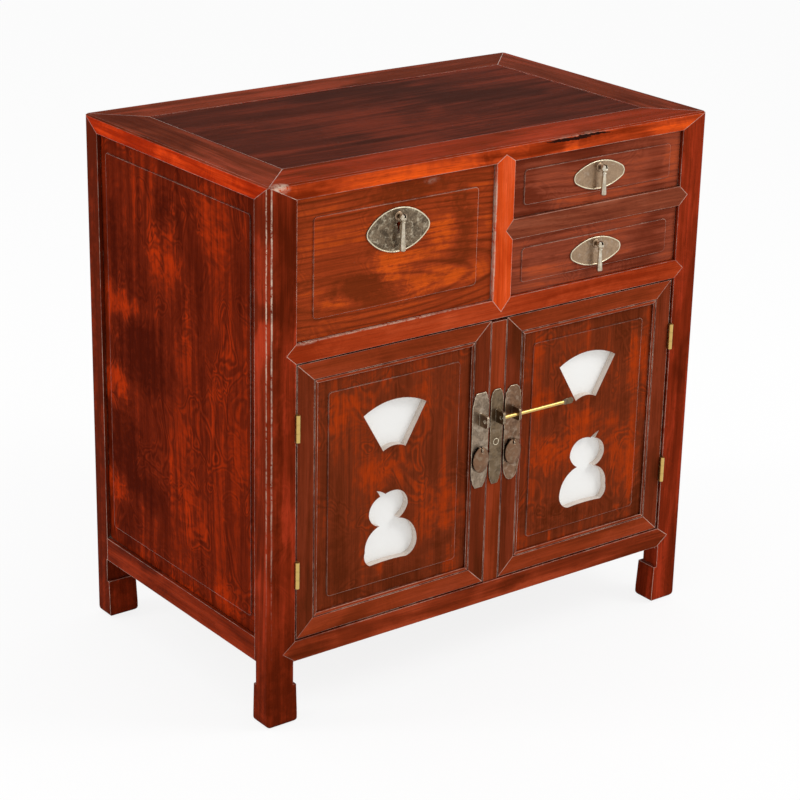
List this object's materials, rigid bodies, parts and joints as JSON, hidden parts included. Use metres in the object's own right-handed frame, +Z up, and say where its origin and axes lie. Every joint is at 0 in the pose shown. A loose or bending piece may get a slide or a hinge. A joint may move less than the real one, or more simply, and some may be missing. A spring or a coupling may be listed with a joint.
{
  "type": "kang cabinet",
  "caption": "Low hardwood cabinet with drawers above a pair of pierced doors locked by a sliding pin.",
  "frame": {"origin": "middle of the floor area under the cabinet, lock eyes and pulls included", "axes": "+Z up, -Y out of the doors, +X to the right of someone facing the doors"},
  "size_m": [0.69, 0.4354, 0.7],
  "materials": {
    "wood_frame": "glossy red-brown lacquer",
    "wood_panel": "glossy red-brown lacquer, figured",
    "wood_top": "glossy dark lacquer, worn",
    "wood_inner": "bare, oiled",
    "yellow_brass": "rubbed",
    "pale_brass": "tarnished, bright rim",
    "dark_bronze": "aged brown, worn rim",
    "white_sheet": "matte"
  },
  "bodies": {
    "carcass": {"post_front_left": "wood_frame", "post_front_right": "wood_frame", "post_back_left": "wood_frame", "post_back_right": "wood_frame", "top_rail_front": "wood_frame", "top_rail_back": "wood_frame", "top_rail_left": "wood_frame", "top_rail_right": "wood_frame", "top_panel": "wood_top", "top_batten": "wood_inner", "bottom_rail_front": "wood_frame", "bottom_rail_back": "wood_frame", "bottom_rails_side": "wood_frame", "mid_rail_front": "wood_frame", "mid_rail_back": "wood_frame", "drawer_divider": "wood_frame", "drawer_cross_rail": "wood_frame", "side_panel_left": "wood_panel", "side_panel_right": "wood_panel", "back_panels": "wood_panel", "bottom_board": "wood_inner", "center_bearer": "wood_inner", "drawer_partition": "wood_inner", "drawer_runners": "wood_inner", "hinge_leaves_fixed": "yellow_brass"},
    "center_stile": {"center_stile": "wood_frame", "center_lock_plate": "dark_bronze"},
    "door_left": {"door_left_hinge_stile": "wood_frame", "door_left_lock_stile": "wood_frame", "door_left_rails": "wood_frame", "door_left_panel": "wood_panel", "door_left_backing": "white_sheet", "door_left_strips": "wood_inner", "door_left_lock_plate": "dark_bronze", "door_left_hinge_leaves": "yellow_brass"},
    "pendant_left": {"door_left_pendant": "dark_bronze"},
    "door_right": {"door_right_hinge_stile": "wood_frame", "door_right_lock_stile": "wood_frame", "door_right_rails": "wood_frame", "door_right_panel": "wood_panel", "door_right_backing": "white_sheet", "door_right_strips": "wood_inner", "door_right_lock_plate": "dark_bronze", "door_right_hinge_leaves": "yellow_brass"},
    "pendant_right": {"door_right_pendant": "dark_bronze"},
    "lock_pin": {"lock_pin": "yellow_brass"},
    "drawer_big": {"drawer_big_front": "wood_panel", "drawer_big_box": "wood_inner", "drawer_big_pull_plate": "pale_brass"},
    "drop_big": {"drawer_big_drop": "pale_brass"},
    "drawer_lower": {"drawer_lower_front": "wood_panel", "drawer_lower_box": "wood_inner", "drawer_lower_pull_plate": "pale_brass"},
    "drop_lower": {"drawer_lower_drop": "pale_brass"},
    "drawer_upper": {"drawer_upper_front": "wood_panel", "drawer_upper_box": "wood_inner", "drawer_upper_pull_plate": "pale_brass"},
    "drop_upper": {"drawer_upper_drop": "pale_brass"}
  },
  "joints": [
    {"name": "center_stile_lift", "type": "slide", "parent": "carcass", "child": "center_stile", "axis": [0, 0, 1], "range_m": [0, 0.0045]},
    {"name": "door_left_hinge", "type": "hinge", "parent": "carcass", "child": "door_left", "pos_m": [-0.3035, -0.20375, 0.3], "axis": [0, 0, -1], "range_deg": [0, 170]},
    {"name": "pendant_left_swing", "type": "hinge", "parent": "door_left", "child": "pendant_left", "pos_m": [-0.01945, -0.20635, 0.305], "axis": [-1, 0, 0], "range_deg": [0, 110]},
    {"name": "door_right_hinge", "type": "hinge", "parent": "carcass", "child": "door_right", "pos_m": [0.3035, -0.20375, 0.3], "axis": [0, 0, 1], "range_deg": [0, 170]},
    {"name": "pendant_right_swing", "type": "hinge", "parent": "door_right", "child": "pendant_right", "pos_m": [0.03345, -0.20635, 0.305], "axis": [-1, 0, 0], "range_deg": [0, 110]},
    {"name": "lock_pin_slide", "type": "slide", "parent": "door_right", "child": "lock_pin", "axis": [1, 0, 0], "range_m": [-0.0708, 0]},
    {"name": "drawer_big_slide", "type": "slide", "parent": "carcass", "child": "drawer_big", "axis": [0, -1, 0], "range_m": [0, 0.27]},
    {"name": "drop_big_swing", "type": "hinge", "parent": "drawer_big", "child": "drop_big", "pos_m": [-0.15625, -0.20925, 0.63675], "axis": [-1, 0, 0], "range_deg": [0, 110]},
    {"name": "drawer_lower_slide", "type": "slide", "parent": "carcass", "child": "drawer_lower", "axis": [0, -1, 0], "range_m": [0, 0.27]},
    {"name": "drop_lower_swing", "type": "hinge", "parent": "drawer_lower", "child": "drop_lower", "pos_m": [0.16325, -0.20925, 0.5495], "axis": [-1, 0, 0], "range_deg": [0, 110]},
    {"name": "drawer_upper_slide", "type": "slide", "parent": "carcass", "child": "drawer_upper", "axis": [0, -1, 0], "range_m": [0, 0.27]},
    {"name": "drop_upper_swing", "type": "hinge", "parent": "drawer_upper", "child": "drop_upper", "pos_m": [0.16325, -0.20925, 0.65075], "axis": [-1, 0, 0], "range_deg": [0, 110]}
  ]
}
